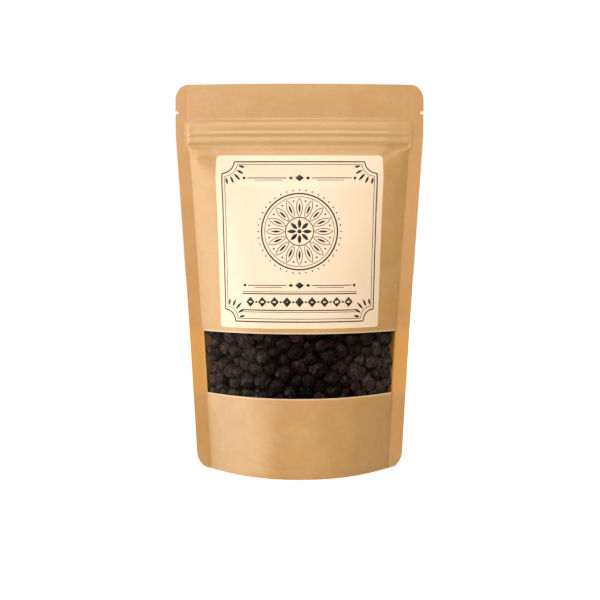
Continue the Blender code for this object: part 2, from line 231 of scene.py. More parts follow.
def creases(u, z, side):
    """Soft creases low on the body, where the filling presses the walls out."""
    side_u = np.abs(u)
    relief = 0.30 * near_segment(side_u, z, (55.0, 36.0), (40.0, 14.0), 3.0)
    relief -= 0.22 * near_segment(side_u, z, (56.5, 120.0), (52.0, 88.0), 2.0)
    return relief


def zip_relief(u, z):
    """The ribs of the zip, pressed through the paper."""
    relief = 0.14 * hump(z, 180.2, 2.4)
    relief += 0.34 * hump(z, 176.9, 1.55)
    relief -= 0.05 * hump(z, 175.2, 1.0)
    relief += 0.22 * hump(z, 173.1, 1.8)
    relief -= 0.15 * hump(z, 170.7, 1.5)
    return relief * (1 - smooth(56.4, 62.0, np.abs(u)))


def seam_height(u):
    return SEAM_HEIGHT + SEAM_RISE * np.abs(u / GUSSET_HALF_WIDTH) ** SEAM_POWER


def fold_height(u):
    share = np.abs(u / GUSSET_HALF_WIDTH) ** (SEAM_POWER - 1)
    return FOLD_HEIGHT + (SEAM_HEIGHT + SEAM_RISE - FOLD_HEIGHT) * share


def undulation(u, z, side):
    """Slow waves of a filled paper wall, from -1 to 1. They die out towards the seals."""
    points = np.stack([u, z, np.full_like(u, side * 40.0)], axis=-1)
    slow = wavy(points.reshape(-1, 3), 46.0, 1).reshape(u.shape)
    fast = wavy(points.reshape(-1, 3), 17.0, 2).reshape(u.shape)
    inside = 1 - smooth(44.0, SEAL_LINE, np.abs(u))
    return inside * (0.75 * slow + 0.25 * fast)


def wall_relief(u, z, side):
    """How far the real wall stands out of the plain solid's wall."""
    closed = 1 - smooth(WINDOW_HALF_WIDTH, SEAL_LINE + 1.0, np.abs(u))
    relief = creases(u, z, side) + shoulders(u, z, side) + zip_relief(u, z)
    relief += 0.55 * undulation(u, z, side) * smooth(8.0, 30.0, z) * (1 - smooth(150.0, 168.0, z))
    relief += 0.25 * undulation(u * 1.6, z * 1.3, side) * smooth(184.0, 192.0, z)
    pressed = (GAP - SEALED_GAP) / 2 * (1 - closed)
    seam = 0.07 * hump(z, seam_height(u), 1.6) * closed
    return relief * closed - pressed - seam


def wall_grid(across, up, side, outward=0.0, relief=True):
    """Points (row, column, xyz) and unit normals of a wall over the values of u and z."""
    points = np.zeros((len(up), len(across), 3))
    distance = np.abs(across)
    for row, z in enumerate(up):
        half_chord, depth, power, stations, lengths = section(round(float(z), 4))
        inner = np.minimum(distance, SEAL_LINE) / SEAL_LINE
        station = np.interp(inner, lengths, stations)
        share = np.clip((distance - SEAL_LINE) / SIDE_SEAL, 0.0, 1.0)
        x = half_chord * station + share * (outer_edge(z) - half_chord)
        x *= np.sign(across)
        bulge = depth * (1 - station**power)
        points[row, :, 0] = x
        points[row, :, 1] = side * (GAP / 2 + bulge + zip_room(across, z)) - bow(x, z)
        points[row, :, 2] = z
    along_u = np.gradient(points, axis=1)
    along_z = np.gradient(points, axis=0)
    along_z[np.asarray(up) <= BASE_RIM] = (0.0, 0.0, 1.0)
    normals = np.cross(along_u, along_z)
    normals /= np.linalg.norm(normals, axis=-1, keepdims=True)
    normals *= np.sign(normals[..., 1:2] * side)
    offset = np.full(points.shape[:2], float(outward))
    if relief:
        u, z = np.meshgrid(across, up)
        offset += wall_relief(u, z, side)
    return points + normals * offset[..., None], normals


@lru_cache(maxsize=None)
def sampled_wall(side, relief):
    """A wall's inner face inside the seals, on an even grid: (u, z, points, normals)."""
    across = np.arange(-SEAL_LINE, SEAL_LINE + 0.01, 0.5)
    up = np.arange(BASE_RIM, LABEL_TOP + 2.01, 0.5)
    points, normals = wall_grid(across, up, side, 0.0, relief)
    return across, up, points, normals


def on_wall(u, z, side, outward=0.0, relief=True):
    """Points out of a wall at arrays of u and z, and the normals there."""
    across, up, points, normals = sampled_wall(side, relief)
    column = np.clip((np.asarray(u, float) - across[0]) / 0.5, 0, len(across) - 1.001)
    row = np.clip((np.asarray(z, float) - up[0]) / 0.5, 0, len(up) - 1.001)
    left, low = column.astype(int), row.astype(int)
    to_right, to_top = (column - left)[..., None], (row - low)[..., None]

    def blend(grid):
        bottom = grid[low, left] * (1 - to_right) + grid[low, left + 1] * to_right
        top = grid[low + 1, left] * (1 - to_right) + grid[low + 1, left + 1] * to_right
        return bottom * (1 - to_top) + top * to_top

    facing = blend(normals)
    facing /= np.linalg.norm(facing, axis=-1, keepdims=True)
    return blend(points) + facing * np.asarray(outward, float)[..., None], facing


# Meshes


def stations(*runs):
    """Values from (start, end, spacing) runs, in order and with their ends."""
    values = []
    for start, end, spacing in runs:
        count = max(1, round((end - start) / spacing))
        values.extend(np.linspace(start, end, count + 1)[:-1])
    return np.array(values + [runs[-1][1]])


def mirrored(values):
    values = np.asarray(values)
    return np.concatenate([-values[:0:-1], values])


def new_piece(name, mesh, look):
    mesh.materials.append(look)
    piece = bpy.data.objects.new(name, mesh)
    bpy.context.scene.collection.objects.link(piece)
    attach(piece, "root")
    return piece


def mesh_from(name, points, faces, attributes=None):
    """A mesh from points in millimetres. attributes maps names to a value for each point."""
    mesh = bpy.data.meshes.new(name)
    mesh.from_pydata((np.asarray(points) * MM).tolist(), [], np.asarray(faces).tolist())
    for key, values in (attributes or {}).items():
        layer = mesh.attributes.new(key, "FLOAT", "POINT")
        layer.data.foreach_set("value", np.asarray(values, np.float32).reshape(-1))
    mesh.shade_smooth()
    mesh.update()
    return mesh


def sheet_mesh(name, outer, inner, keep=None, attributes=None):
    """A closed thin sheet between two grids of points. keep, a grid of booleans for the faces, says which faces stay.
    """
    rows, columns = outer.shape[:2]
    row, column = np.meshgrid(np.arange(rows - 1), np.arange(columns - 1), indexing="ij")
    kept = np.ones_like(row, bool) if keep is None else keep
    first = (row * columns + column)[kept]
    quads = np.stack([first, first + 1, first + columns + 1, first + columns], axis=-1)
    total = rows * columns
    edges = np.concatenate([quads[:, [i, (i + 1) % 4]] for i in range(4)])
    keys = edges[:, 0] * total + edges[:, 1]
    back = edges[:, 1] * total + edges[:, 0]
    rim = edges[~np.isin(keys, back)]
    walls = np.stack([rim[:, 1], rim[:, 0], rim[:, 0] + total, rim[:, 1] + total], axis=-1)
    faces = np.concatenate([quads, quads[:, ::-1] + total, walls])
    points = np.concatenate([outer.reshape(-1, 3), inner.reshape(-1, 3)])
    used, index = np.unique(faces, return_inverse=True)
    doubled = {k: np.concatenate([v.reshape(-1)] * 2)[used] for k, v in (attributes or {}).items()}
    mesh = mesh_from(name, points[used], index.reshape(faces.shape), doubled)
    turn_outwards(mesh)
    return mesh


def turn_outwards(mesh):
    """Makes a closed mesh's faces point out."""
    shape = bmesh.new()
    shape.from_mesh(mesh)
    bmesh.ops.recalc_face_normals(shape, faces=shape.faces)
    shape.to_mesh(mesh)
    shape.free()


def sharpen(mesh, degrees):
    mesh.set_sharp_from_angle(angle=math.radians(degrees))


# Materials


class Nodes:
    """Short calls for building one material's nodes."""

    def __init__(self, name):
        self.material = bpy.data.materials.new(name)
        self.material.use_nodes = True
        self.tree = self.material.node_tree
        self.shader = self.tree.nodes["Principled BSDF"]
        self.output = self.tree.nodes["Material Output"]
        self.place = self.add("ShaderNodeTexCoord").outputs["Object"]

    def add(self, kind, **settings):
        node = self.tree.nodes.new(kind)
        for key, value in settings.items():
            setattr(node, key, value)
        return node

    def link(self, source, target):
        self.tree.links.new(source, target)

    def stretched(self, scale, turn=(0.0, 0.0, 0.0)):
        mapping = self.add("ShaderNodeMapping")
        mapping.inputs["Scale"].default_value = scale
        mapping.inputs["Rotation"].default_value = turn
        self.link(self.place, mapping.inputs["Vector"])
        return mapping.outputs["Vector"]

    def noise(self, scale, detail=3.0, roughness=0.55, vector=None, distortion=0.0):
        node = self.add("ShaderNodeTexNoise")
        node.inputs["Scale"].default_value = scale
        node.inputs["Detail"].default_value = detail
        node.inputs["Roughness"].default_value = roughness
        node.inputs["Distortion"].default_value = distortion
        self.link(vector or self.place, node.inputs["Vector"])
        return node.outputs["Fac"]

    def spread(self, value, low, high, to_low=0.0, to_high=1.0):
        """Maps low..high to to_low..to_high, smoothly and clamped."""
        node = self.add("ShaderNodeMapRange", interpolation_type="SMOOTHSTEP")
        for key, number in zip(("From Min", "From Max", "To Min", "To Max"), (low, high, to_low, to_high)):
            node.inputs[key].default_value = number
        self.link(value, node.inputs["Value"])
        return node.outputs["Result"]

    def mix(self, factor, first, second, blend="MIX"):
        node = self.add("ShaderNodeMix", data_type="RGBA", blend_type=blend)
        for key, value in (("Factor", factor), ("A", first), ("B", second)):
            socket = next(s for s in node.inputs if s.name == key and s.enabled)
            if isinstance(value, bpy.types.NodeSocket):
                self.link(value, socket)
            elif isinstance(value, tuple):
                socket.default_value = (*value, 1.0)
            else:
                socket.default_value = value
        return next(s for s in node.outputs if s.enabled)

    def math(self, operation, first, second):
        node = self.add("ShaderNodeMath", operation=operation)
        for socket, value in zip(node.inputs, (first, second)):
            if isinstance(value, bpy.types.NodeSocket):
                self.link(value, socket)
            else:
                socket.default_value = value
        return node.outputs["Value"]

    def mask(self, name):
        return self.add("ShaderNodeAttribute", attribute_name=name).outputs["Fac"]

    def bump(self, height, distance, strength=1.0, normal=None):
        node = self.add("ShaderNodeBump")
        node.inputs["Distance"].default_value = distance
        node.inputs["Strength"].default_value = strength
        self.link(height, node.inputs["Height"])
        if normal:
            self.link(normal, node.inputs["Normal"])
        return node.outputs["Normal"]

    def set(self, **values):
        """Fills the shader's sockets, named with _ for a space."""
        for key, value in values.items():
            socket = self.shader.inputs[key.replace("_", " ")]
            if isinstance(value, bpy.types.NodeSocket):
                self.link(value, socket)
            elif isinstance(value, tuple):
                socket.default_value = (*value, 1.0)
            else:
                socket.default_value = value


def kraft_material():
    """Brown kraft paper: blotches, fibres along and across, and smoother seals. Some light is painted into its colour:
    a sheen on the zip band, highlight lines along folds and the window's cut edges, and an orange glow beside the
    window.
    """
    look = Nodes("kraft_paper")
    blotches = look.noise(70.0, 4.0, 0.6)
    cloud = look.noise(22.0, 2.0, 0.5)
    along = look.noise(1.0, 5.0, 0.65, look.stretched((260.0, 260.0, 2600.0)), 0.4)
    across = look.noise(1.0, 5.0, 0.65, look.stretched((2300.0, 2300.0, 300.0), (0.0, 0.5, 0.0)), 0.4)
    grain = look.noise(2600.0, 3.0, 0.7)
    mottle = look.noise(560.0, 3.0, 0.6)
    flecks = look.noise(1.0, 2.0, 0.4, look.stretched((420.0, 420.0, 1500.0), (0.0, 0.9, 0.0)), 1.2)
    light = (0.545, 0.294, 0.094)
    dark = (0.497, 0.254, 0.070)
    colour = look.mix(look.spread(blotches, 0.34, 0.66), dark, light)
    colour = look.mix(look.spread(cloud, 0.3, 0.7, 0.0, 0.30), colour, (0.578, 0.315, 0.114))
    colour = look.mix(look.spread(mottle, 0.42, 0.66, 0.0, 0.28), colour, (0.46, 0.222, 0.060))
    colour = look.mix(look.spread(along, 0.56, 0.74, 0.0, 0.30), colour, (0.43, 0.200, 0.062))
    colour = look.mix(look.spread(across, 0.58, 0.76, 0.0, 0.26), colour, (0.72, 0.42, 0.18))
    colour = look.mix(look.spread(grain, 0.60, 0.80, 0.0, 0.25), colour, (0.42, 0.20, 0.07))
    colour = look.mix(look.spread(flecks, 0.70, 0.78, 0.0, 0.40), colour, (0.30, 0.135, 0.045))
    seal = look.mask("seal")
    colour = look.mix(look.math("MULTIPLY", seal, 0.45), colour, (0.54, 0.250, 0.070))
    # painted sheen and highlights: lighter, whiter paper on the zip band and along fold lines
    colour = look.mix(look.math("MULTIPLY", look.mask("painted_sheen"), 0.6), colour, (0.635, 0.385, 0.170))
    colour = look.mix(look.math("MULTIPLY", look.mask("glow"), 0.85), colour, (0.66, 0.300, 0.052))
    # painted highlight: a light line along the window's top and bottom cut edges
    colour = look.mix(look.math("MULTIPLY", look.mask("cut_edge_highlight"), 0.9), colour, (0.78, 0.56, 0.34))
    inside = look.mask("inside")
    colour = look.mix(look.math("MULTIPLY", inside, 0.6), colour, (0.50, 0.24, 0.075))
    rough = look.spread(blotches, 0.3, 0.7, 0.37, 0.44)
    rough = look.math("SUBTRACT", rough, look.math("MULTIPLY", seal, 0.07))
    fibres = look.math("ADD", look.math("MULTIPLY", along, 0.6), look.math("MULTIPLY", across, 0.4))
    height = look.math("ADD", fibres, look.math("MULTIPLY", grain, 0.5))
    look.set(
        Base_Color=colour,
        Roughness=rough,
        Specular_IOR_Level=0.68,
        Normal=look.bump(height, 0.00003, 0.55),
    )
    return look.material


def label_material():
    """Smooth uncoated cream paper."""
    look = Nodes("label_paper")
    cloud = look.noise(45.0, 3.0, 0.5)
    fibres = look.noise(1.0, 4.0, 0.6, look.stretched((1500.0, 1500.0, 500.0)), 0.5)
    fleck = look.noise(1900.0, 2.0, 0.5)
    colour = look.mix(look.spread(cloud, 0.3, 0.7), (0.832, 0.608, 0.406), (0.852, 0.633, 0.434))
    colour = look.mix(look.spread(fibres, 0.55, 0.75, 0.0, 0.35), colour, (0.85, 0.69, 0.49))
    colour = look.mix(look.spread(fleck, 0.68, 0.78, 0.0, 0.22), colour, (0.62, 0.44, 0.27))
    look.set(
        Base_Color=colour,
        Roughness=look.spread(fibres, 0.3, 0.7, 0.38, 0.47),
        Specular_IOR_Level=0.66,
        Normal=look.bump(fibres, 0.00002, 0.35),
    )
    return look.material


def ink_material():
    """Black ink, soaked a little unevenly into the paper."""
    look = Nodes("printing_ink")
    uneven = look.noise(900.0, 3.0, 0.6)
    look.set(
        Base_Color=look.mix(look.spread(uneven, 0.45, 0.75), (0.014, 0.012, 0.011), (0.055, 0.045, 0.038)),
        Roughness=look.spread(uneven, 0.3, 0.7, 0.45, 0.6),
        Specular_IOR_Level=0.35,
    )
    return look.material


def film_material():
    """Clear film with a thin, slightly rippled gloss."""
    look = Nodes("clear_film")
    clear = look.add("ShaderNodeBsdfTransparent")
    clear.inputs["Color"].default_value = (0.90, 0.88, 0.86, 1.0)
    ripples = look.noise(30.0, 2.0, 0.5)
    scuffs = look.noise(240.0, 5.0, 0.6)
    gloss = look.add("ShaderNodeBsdfGlossy")
    gloss.inputs["Color"].default_value = (1.0, 1.0, 1.0, 1.0)
    look.link(look.spread(scuffs, 0.3, 0.8, 0.30, 0.44), gloss.inputs["Roughness"])
    look.link(look.bump(ripples, 0.0004, 0.5), gloss.inputs["Normal"])
    bend = look.add("ShaderNodeFresnel")
    bend.inputs["IOR"].default_value = 1.13
    shine = look.add("ShaderNodeMixShader")
    look.link(look.math("MULTIPLY", bend.outputs["Fac"], 0.05), shine.inputs["Fac"])
    look.link(clear.outputs["BSDF"], shine.inputs[1])
    look.link(gloss.outputs["BSDF"], shine.inputs[2])
    look.link(shine.outputs["Shader"], look.output.inputs["Surface"])
    look.tree.nodes.remove(look.shader)
    return look.material


def fruit_material():
    """Shrivelled dark skin: glossy ridges, dull hollows, and a red or blue cast by berry. Light is painted too:
    lighter ridges as painted highlights, near-black hollows as painted shade, and a pale painted haze near the
    window's ends for the film's reflection.
    """
    look = Nodes("dried_fruit")
    tint = look.mask("tint")
    dull = look.mask("dull")
    painted_haze = look.mask("painted_haze")
    ridge = look.mask("ridge")
    pores = look.noise(620.0, 3.0, 0.55)
    patches = look.noise(330.0, 3.0, 0.6)
    colour = look.mix(look.spread(tint, 0.0, 0.6), (0.0020, 0.0013, 0.0014), (0.0066, 0.0035, 0.0034))
    colour = look.mix(look.spread(tint, 0.78, 1.0), colour, (0.030, 0.0065, 0.0060))
    # painted highlight: ridges made lighter, as light strokes on the wrinkle crests
    colour = look.mix(look.spread(ridge, 0.3, 0.95, 0.0, 0.60), colour, (0.0105, 0.0064, 0.0061))
    colour = look.mix(look.spread(patches, 0.5, 0.75, 0.0, 0.35), colour, (0.0082, 0.0044, 0.0047))
    # painted shade: hollows between the wrinkles darkened nearly to black
    colour = look.mix(look.spread(ridge, 0.0, 0.30, 0.75, 0.0), colour, (0.0012, 0.0008, 0.0008))
    # painted reflection: a pale haze on berries near the window's ends, standing in for the film's hazy reflection
    haze_share = look.math("MULTIPLY", painted_haze, look.spread(patches, 0.25, 0.75, 0.35, 0.95))
    # painted shade: the pale haze thins out in the hollows
    haze_share = look.math("MULTIPLY", haze_share, look.spread(ridge, 0.0, 0.60, 0.30, 1.0))
    colour = look.mix(haze_share, colour, (0.175, 0.128, 0.103))
    rough = look.math("ADD", look.spread(ridge, 0.2, 0.8, 0.56, 0.11), look.spread(dull, 0.30, 0.9, 0.0, 0.34))
    look.set(
        Base_Color=colour,
        Roughness=rough,
        Specular_IOR_Level=0.24,
        Specular_Tint=(1.0, 0.88, 0.85),
        Normal=look.bump(pores, 0.00010, 0.45),
    )
    return look.material


def dark_fill_material():
    """The unseen depth of the filling."""
    look = Nodes("fruit_depth")
    cloud = look.noise(200.0, 3.0, 0.6)
    look.set(
        Base_Color=look.mix(cloud, (0.006, 0.004, 0.004), (0.020, 0.011, 0.010)),
        Roughness=look.spread(cloud, 0.3, 0.7, 0.55, 0.75),
    )
    return look.material


def zip_material():
    """Milky extruded plastic with fine drawing lines along its length."""
    look = Nodes("zip_plastic")
    lines = look.noise(1.0, 3.0, 0.5, look.stretched((12.0, 2200.0, 2200.0)))
    look.set(
        Base_Color=look.mix(look.spread(lines, 0.3, 0.7), (0.74, 0.73, 0.70), (0.84, 0.83, 0.80)),
        Roughness=look.spread(lines, 0.3, 0.7, 0.28, 0.42),
        Transmission_Weight=0.25,
        Normal=look.bump(lines, 0.00003, 0.5),
    )
    return look.material


# The paper walls


def wall_columns():
    half = stations((0.0, 48.0, 0.86), (48.0, WINDOW_HALF_WIDTH, 0.62), (WINDOW_HALF_WIDTH, 60.4, 0.4))
    return mirrored(np.concatenate([half[:-1], stations((60.4, FLAT_HALF_WIDTH, 0.77))]))


def wall_rows():
    notch_low = NOTCH_HEIGHT - NOTCH_HALF_OPENING
    notch_high = NOTCH_HEIGHT + NOTCH_HALF_OPENING
    return stations(
        (0.0, BASE_RIM, 1.0),
        (BASE_RIM, BASE_CORNER[1], 0.7),
        (BASE_CORNER[1], WINDOW_BOTTOM - 1.2, 1.06),
        (WINDOW_BOTTOM - 1.2, WINDOW_BOTTOM, 0.4),
        (WINDOW_BOTTOM, WINDOW_TOP, 1.2),
        (WINDOW_TOP, WINDOW_TOP + 1.2, 0.4),
        (WINDOW_TOP + 1.2, 140.0, 1.15),
        (140.0, 168.0, 0.75),
        (168.0, 184.0, 0.36),
        (184.0, notch_low, 1.0),
        (notch_low, notch_high, 0.16),
        (notch_high, STANDING_HEIGHT - TOP_CORNER[1], 0.9),
        (STANDING_HEIGHT - TOP_CORNER[1], STANDING_HEIGHT - 1.5, 0.5),
        (STANDING_HEIGHT - 1.5, STANDING_HEIGHT - 0.3, 0.2),
        (STANDING_HEIGHT - 0.3, STANDING_HEIGHT, 0.06),
    )


def paper_masks(across, up, window):
    """Where the paper is sealed, and where light is painted on it: a painted sheen on the zip band, painted highlight
    lines at the seal edges, the zip ends and the window's cut edges, and an orange glow beside the window, as if lit
    through from behind.
    """
    u, z = np.meshgrid(across, up)
    side_u = np.abs(u)
    above = smooth(146.0, 172.0, z)
    narrowed = 8.0 * (1 - smooth(9.0, 19.0, z))
    seal = smooth(SEAL_LINE - 1.2, SEAL_LINE + 0.8, side_u - narrowed)
    # painted highlight: a light line along the seal's inner edge near the zip
    painted_sheen = 0.35 * hump(side_u, SEAL_LINE + 0.3, 1.3) * above
    # painted sheen on the zip band, and painted highlight lines at each end of the zip
    stretched = smooth(169.0, 172.0, z) * (1 - smooth(182.6, 184.2, z))
    painted_sheen += 0.6 * stretched * (1 - smooth(54.0, 60.0, side_u))
    painted_sheen += 0.5 * stretched * (hump(side_u, 58.2, 0.6) + hump(side_u, 60.0, 0.6))
    # painted highlight along the window's cut edges, above and below it
    past_end = np.maximum(np.maximum(z - WINDOW_TOP, WINDOW_BOTTOM - z), 0.0)
    cut_edge_highlight = (1 - smooth(0.15, 0.95, past_end)) * (1 - smooth(-0.9, 0.0, side_u - WINDOW_HALF_WIDTH))
    beside = smooth(WINDOW_BOTTOM - 4.0, WINDOW_BOTTOM + 3.0, z)
    beside *= 1 - smooth(WINDOW_TOP - 3.0, WINDOW_TOP + 4.0, z)
    glow = smooth(WINDOW_HALF_WIDTH - 0.5, WINDOW_HALF_WIDTH + 1.0, side_u) * beside
    if not window:
        glow, cut_edge_highlight = 0 * glow, 0 * cut_edge_highlight
    return {"seal": seal, "painted_sheen": painted_sheen, "glow": glow, "cut_edge_highlight": cut_edge_highlight}


def build_wall(name, side, window, kraft):
    across, up = wall_columns(), wall_rows()
    outer, normals = wall_grid(across, up, side, PAPER)
    inner = outer - normals * PAPER
    masks = paper_masks(across, up, window)
    keep = None
    if window:
        u = (across[:-1] + across[1:]) / 2
        z = (up[:-1] + up[1:]) / 2
        inside_u = np.abs(u) < WINDOW_HALF_WIDTH
        inside_z = (z > WINDOW_BOTTOM) & (z < WINDOW_TOP)
        keep = ~(inside_z[:, None] & inside_u[None, :])
    mesh = sheet_mesh(name, outer, inner, keep, masks)
    layer = mesh.attributes.new("inside", "FLOAT", "FACE")
    facing = np.zeros(len(mesh.polygons) * 3, np.float32)
    mesh.polygons.foreach_get("normal", facing)
    layer.data.foreach_set("value", (facing.reshape(-1, 3)[:, 1] * side < -0.2).astype(np.float32))
    sharpen(mesh, 50)
    return new_piece(name, mesh, kraft)


def build_gusset(kraft):
    """The gusset: a skirt up each wall to the seam, and the fold between the seams."""
    across = mirrored(stations((0.0, 40.0, 1.3), (40.0, GUSSET_HALF_WIDTH, 0.7)))
    inside = GAP + PAPER
    skirt = np.linspace(0.0, 1.0, 16)
    seam = seam_height(across)
    fold = fold_height(across)
    rows = []
    for share in skirt:
        heights = np.maximum(seam * share, 0.2)
        rows.append(gusset_row(across, heights, -1, inside))
    edge = gusset_row(across, seam, 1, inside)
    for share in np.linspace(-1.0, 1.0, 41)[1:-1]:
        row = edge.copy()
        row[:, 1] = edge[:, 1] * share
        sag = (1 - share**2) ** 1.0
        row[:, 2] = seam + (fold - seam) * sag
        rows.append(row)
    for share in skirt[::-1]:
        heights = np.maximum(seam * share, 0.2)
        rows.append(gusset_row(across, heights, 1, inside))
    middle = np.array(rows)
    along_u = np.gradient(middle, axis=1)
    along_path = np.gradient(middle, axis=0)
    normals = np.cross(along_u, along_path)
    normals /= np.maximum(np.linalg.norm(normals, axis=-1, keepdims=True), 1e-9)
    if normals[2, len(across) // 2, 1] > 0:
        normals = -normals
    half = 0.11
    masks = {key: np.zeros(middle.shape[:2]) for key in ("seal", "painted_sheen", "glow", "cut_edge_highlight")}
    mesh = sheet_mesh("gusset_paper", middle + normals * half, middle - normals * half, None, masks)
    piece = new_piece("gusset_paper", mesh, kraft)
    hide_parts("bottom_gusset")


def gusset_row(across, heights, side, inside):
    """The gusset's points at a height for each value of u, inside a wall."""
    row, _ = on_wall(across, np.maximum(heights, BASE_RIM), side, np.full(len(across), -inside), False)
    row[:, 2] = heights
    return row


def build_film(film):
    across = mirrored(stations((0.0, 50.0, 1.4), (50.0, 57.4, 0.6)))
    up = stations((FILM_LOW.z + 0.4, FILM_HIGH.z - 0.4, 1.2))
    outer, normals = wall_grid(across, up, -1, -0.02)
    mesh = sheet_mesh("window_sheet", outer, outer - normals * FILM)
    piece = new_piece("window_sheet", mesh, film)
    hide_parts("window_film")


# The zip

# Each half's section from the middle of its inner side up and out, as (depth, height)
GROOVE_SECTION = [(-1.1, 1.0), (-0.1, 1.0), (-0.1, 0.6), (0.3, 0.6), (0.3, 1.6), (-1.1, 1.6), (-1.1, 5.0), (-1.6, 5.0)]
RIB_SECTION = [(-0.75, 0.4), (-0.4, 0.65), (-0.4, 0.25), (1.1, 0.25), (1.1, 5.0), (1.6, 5.0)]


def build_track(node, upper, plastic):
    """One half of the zip, crushed thin at both ends, where the side seals hold it."""
    outline = np.array(upper + [(depth, -height) for depth, height in reversed(upper)])
    across = mirrored(stations((0.0, 42.0, 3.0), (42.0, ZIP_HALF_LENGTH, 0.8)))
    height = ZIP_MIDDLE + outline[:, 1]
    rings = []
    for x in across:
        depth = outline[:, 0] * (1 - ZIP_CRUSH * smooth(44.0, 57.0, abs(x)))
        rings.append(np.stack([np.full(len(outline), x), depth - bow(x, height), height], axis=-1))
    count = len(outline)
    faces = ring_faces(len(rings), count)
    faces.append(list(range(count)))
    faces.append([(len(rings) - 1) * count + corner for corner in range(count)])
    mesh = mesh_of_polygons(node + "_track", np.concatenate(rings), faces)
    sharpen(mesh, 30)
    piece = new_piece(node + "_track", mesh, plastic)
    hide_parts(node)


def ring_faces(rings, count):
    """The quads between rings of count points each."""
    faces = []
    for ring in range(rings - 1):
        start = ring * count
        for corner in range(count):
            after = (corner + 1) % count
            faces.append([start + corner, start + after, start + count + after, start + count + corner])
    return faces


def mesh_of_polygons(name, points, faces):
    """A closed mesh from points in millimetres and polygons of any size."""
    mesh = bpy.data.meshes.new(name)
    mesh.from_pydata((np.asarray(points) * MM).tolist(), [], faces)
    mesh.shade_smooth()
    turn_outwards(mesh)
    return mesh


# The label and its print


def label_spot(p, q):
    """(u, z) of a place on the label, from its middle, across and up."""
    return p, (LABEL_BOTTOM + LABEL_TOP) / 2 + q


def build_label(paper):
    """A sticker with rounded corners that follows the wall."""
    share = mirrored(stations((0.0, 0.96, 0.028), (0.96, 1.0, 0.005)))
    up = stations(
        (LABEL_BOTTOM, LABEL_BOTTOM + LABEL_CORNER, 0.12),
        (LABEL_BOTTOM + LABEL_CORNER, LABEL_TOP - LABEL_CORNER, 1.1),
        (LABEL_TOP - LABEL_CORNER, LABEL_TOP, 0.12),
    )
    corner = (LABEL_CORNER, LABEL_CORNER)
    half = np.array([LABEL_HALF_WIDTH - corner_cut(min(z - LABEL_BOTTOM, LABEL_TOP - z), corner) for z in up])
    u = share[None, :] * half[:, None]
    z = np.repeat(up[:, None], len(share), axis=1)
    outer, normals = on_wall(u, z, -1, np.full(u.shape, LABEL_OUT + STICKER))
    edge = smooth(0.985, 1.0, np.abs(share))[None, :] + 0 * z
    edge = np.maximum(edge, 1 - smooth(0.0, 0.7, np.minimum(z - LABEL_BOTTOM, LABEL_TOP - z)))
    mesh = sheet_mesh("label_sheet", outer, outer - normals * STICKER, None, {"edge": edge})
    sharpen(mesh, 50)
    piece = new_piece("label_sheet", mesh, paper)
    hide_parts("label")


class Print:
    """Ink shapes on the label, gathered into one mesh. Each is a closed thin body."""

    def __init__(self):
        self.spots = []
        self.tops = []
        self.faces = []

    def body(self, ring_faces, outline_count, spots):
        """Adds a thin body: top faces over spots, the same below, and walls around."""
        start = len(self.spots)
        count = len(spots)
        self.spots += spots + spots
        self.tops += [True] * count + [False] * count
        rim = [(ring[i], ring[(i + 1) % len(ring)]) for ring in ring_faces for i in range(len(ring))]
        alone = [edge for edge in rim if (edge[1], edge[0]) not in set(rim)]
        for ring in ring_faces:
            self.faces.append([start + i for i in ring])
            self.faces.append([start + count + i for i in reversed(ring)])
        for a, b in alone:
            self.faces.append([start + b, start + a, start + count + a, start + count + b])

    def stroke(self, path, width, closed=False):
        """A line along a path, with a width or a width for each point."""
        path = [Vector(p) for p in path]
        count = len(path)
        widths = [width] * count if isinstance(width, (int, float)) else list(width)
        spots = []
        for i, point in enumerate(path):
            before = path[i - 1] if i or closed else path[0]
            after = path[(i + 1) % count] if i < count - 1 or closed else path[-1]
            along = (after - before).normalized()
            aside = Vector((-along.y, along.x)) * widths[i] / 2
            spots += [tuple(point + aside), tuple(point - aside)]
        steps = count if closed else count - 1
        rings = []
        for i in range(steps):
            j = (i + 1) % count
            rings.append([2 * i, 2 * i + 1, 2 * j + 1, 2 * j])
        self.body(rings, 0, spots)

    def blot(self, outline):
        """A filled shape."""
        self.body([list(range(len(outline)))], 0, [tuple(p) for p in outline])

    def mesh(self):
        out = LABEL_OUT + STICKER
        height = [out + INK if top else out - 0.01 for top in self.tops]
        spots = np.array([label_spot(*spot) for spot in self.spots])
        points, _ = on_wall(spots[:, 0], spots[:, 1], -1, height)
        mesh = mesh_from("label_print", points, self.faces_padded())
        turn_outwards(mesh)
        return mesh

    def faces_padded(self):
        return np.array(self.faces, dtype=object)


def arc_points(centre, radius, start, end, spacing=0.5):
    count = max(6, round(abs(math.radians(end - start)) * radius / spacing))
    angles = [math.radians(start + (end - start) * i / count) for i in range(count + 1)]
    return [(centre[0] + radius * math.cos(a), centre[1] + radius * math.sin(a)) for a in angles]


def line_points(start, end, spacing=1.5):
    count = max(1, round(math.dist(start, end) / spacing))
    return [
        (start[0] + (end[0] - start[0]) * i / count, start[1] + (end[1] - start[1]) * i / count)
        for i in range(count + 1)
    ]


def petal(centre, angle, start, end, width):
    """The outline of a pointed petal that lies along an angle, from start to end out."""
    outline = []
    steps = 10
    turn = math.radians(angle)
    for sign in (1, -1):
        for i in range(steps):
            share = i / steps if sign > 0 else 1 - i / steps
            along = start + (end - start) * share
            aside = sign * width / 2 * math.sin(math.pi * share) ** 0.8
            outline.append(
                (
                    centre[0] + along * math.cos(turn) - aside * math.sin(turn),
                    centre[1] + along * math.sin(turn) + aside * math.cos(turn),
                )
            )
    return outline


def diamond(centre, half_width, half_height):
    x, y = centre
    return [(x + half_width, y), (x, y + half_height), (x - half_width, y), (x, y - half_height)]


